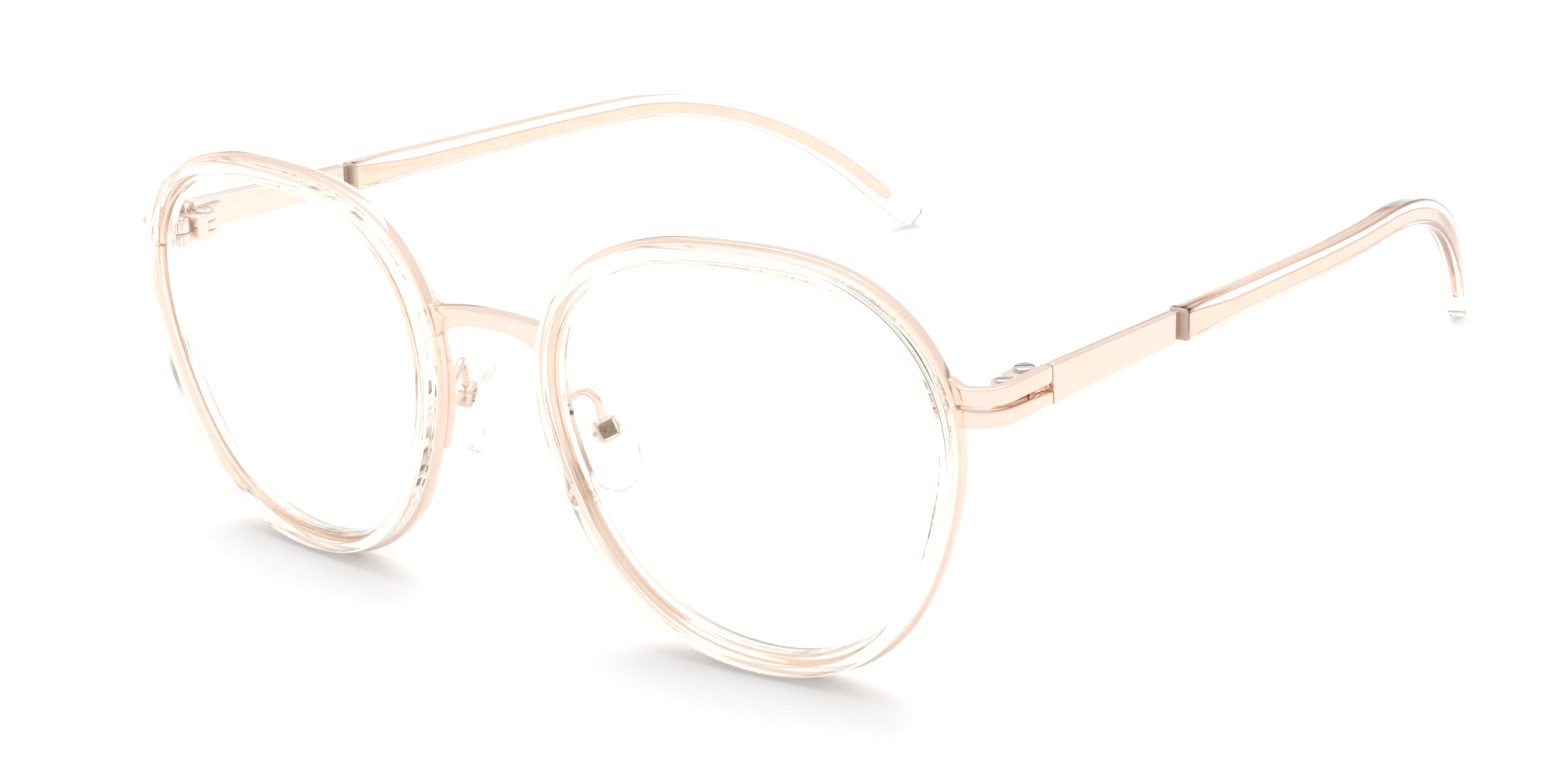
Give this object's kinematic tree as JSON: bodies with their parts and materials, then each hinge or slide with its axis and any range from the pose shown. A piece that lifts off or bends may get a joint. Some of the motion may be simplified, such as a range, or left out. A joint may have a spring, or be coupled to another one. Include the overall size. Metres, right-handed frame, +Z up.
{
  "type": "round wire eyeglasses",
  "caption": "Round eyeglasses: thin metal rims around clear inner rims and lenses, arched bridge, split end pieces, hinged temples with clear curved sleeves, rocking nose pads.",
  "frame": {"origin": "on the table under the middle of the open glasses, where the rim bottoms and temple tips rest", "axes": "+Z up, the front faces -Y, the temples run back along +Y, +X is the wearer's left"},
  "size_m": [0.1354, 0.1524, 0.0509],
  "materials": {
    "rose_gold_metal": "polished pale rose-gold plating",
    "screw_steel": "bright turned steel",
    "clear_acetate": "polished crystal-clear acetate",
    "demo_lens": "clear polished lens",
    "clear_silicone": "clear soft silicone",
    "pad_insert": "clear moulded insert"
  },
  "bodies": {
    "front": {"bridge": "rose_gold_metal", "left_eyewire": "rose_gold_metal", "left_nose_plate": "rose_gold_metal", "left_upper_prong": "rose_gold_metal", "left_lower_prong": "rose_gold_metal", "left_rim_lock_upper": "rose_gold_metal", "left_rim_lock_lower": "rose_gold_metal", "left_rim_lock_screw": "screw_steel", "left_front_hinge_leaf": "rose_gold_metal", "left_hinge_screw": "screw_steel", "left_inner_rim": "clear_acetate", "left_lens": "demo_lens", "left_pad_arm": "rose_gold_metal", "left_pad_cup": "rose_gold_metal", "left_pad_screw": "screw_steel", "right_eyewire": "rose_gold_metal", "right_nose_plate": "rose_gold_metal", "right_upper_prong": "rose_gold_metal", "right_lower_prong": "rose_gold_metal", "right_rim_lock_upper": "rose_gold_metal", "right_rim_lock_lower": "rose_gold_metal", "right_rim_lock_screw": "screw_steel", "right_front_hinge_leaf": "rose_gold_metal", "right_hinge_screw": "screw_steel", "right_inner_rim": "clear_acetate", "right_lens": "demo_lens", "right_pad_arm": "rose_gold_metal", "right_pad_cup": "rose_gold_metal", "right_pad_screw": "screw_steel"},
    "left_temple": {"left_temple_blade": "rose_gold_metal", "left_temple_sleeve": "clear_acetate", "left_temple_hinge_leaf": "rose_gold_metal"},
    "left_pad": {"left_nose_pad": "clear_silicone", "left_pad_lug": "pad_insert"},
    "right_temple": {"right_temple_blade": "rose_gold_metal", "right_temple_sleeve": "clear_acetate", "right_temple_hinge_leaf": "rose_gold_metal"},
    "right_pad": {"right_nose_pad": "clear_silicone", "right_pad_lug": "pad_insert"}
  },
  "joints": [
    {"name": "left_temple_fold", "type": "hinge", "parent": "front", "child": "left_temple", "pos_m": [0.0639, -0.05827, 0.03541], "axis": [0, 0, 1], "range_deg": [0, 86]},
    {"name": "right_temple_fold", "type": "hinge", "parent": "front", "child": "right_temple", "pos_m": [-0.0639, -0.05827, 0.03541], "axis": [0, 0, -1], "range_deg": [0, 78]},
    {"name": "left_pad_rock", "type": "hinge", "parent": "front", "child": "left_pad", "pos_m": [0.0114, -0.06672, 0.02358], "axis": [0.4028, 0.8827, 0.2419], "range_deg": [-10, 10]},
    {"name": "right_pad_rock", "type": "hinge", "parent": "front", "child": "right_pad", "pos_m": [-0.0114, -0.06672, 0.02358], "axis": [-0.4028, 0.8827, 0.2419], "range_deg": [-10, 10]}
  ]
}
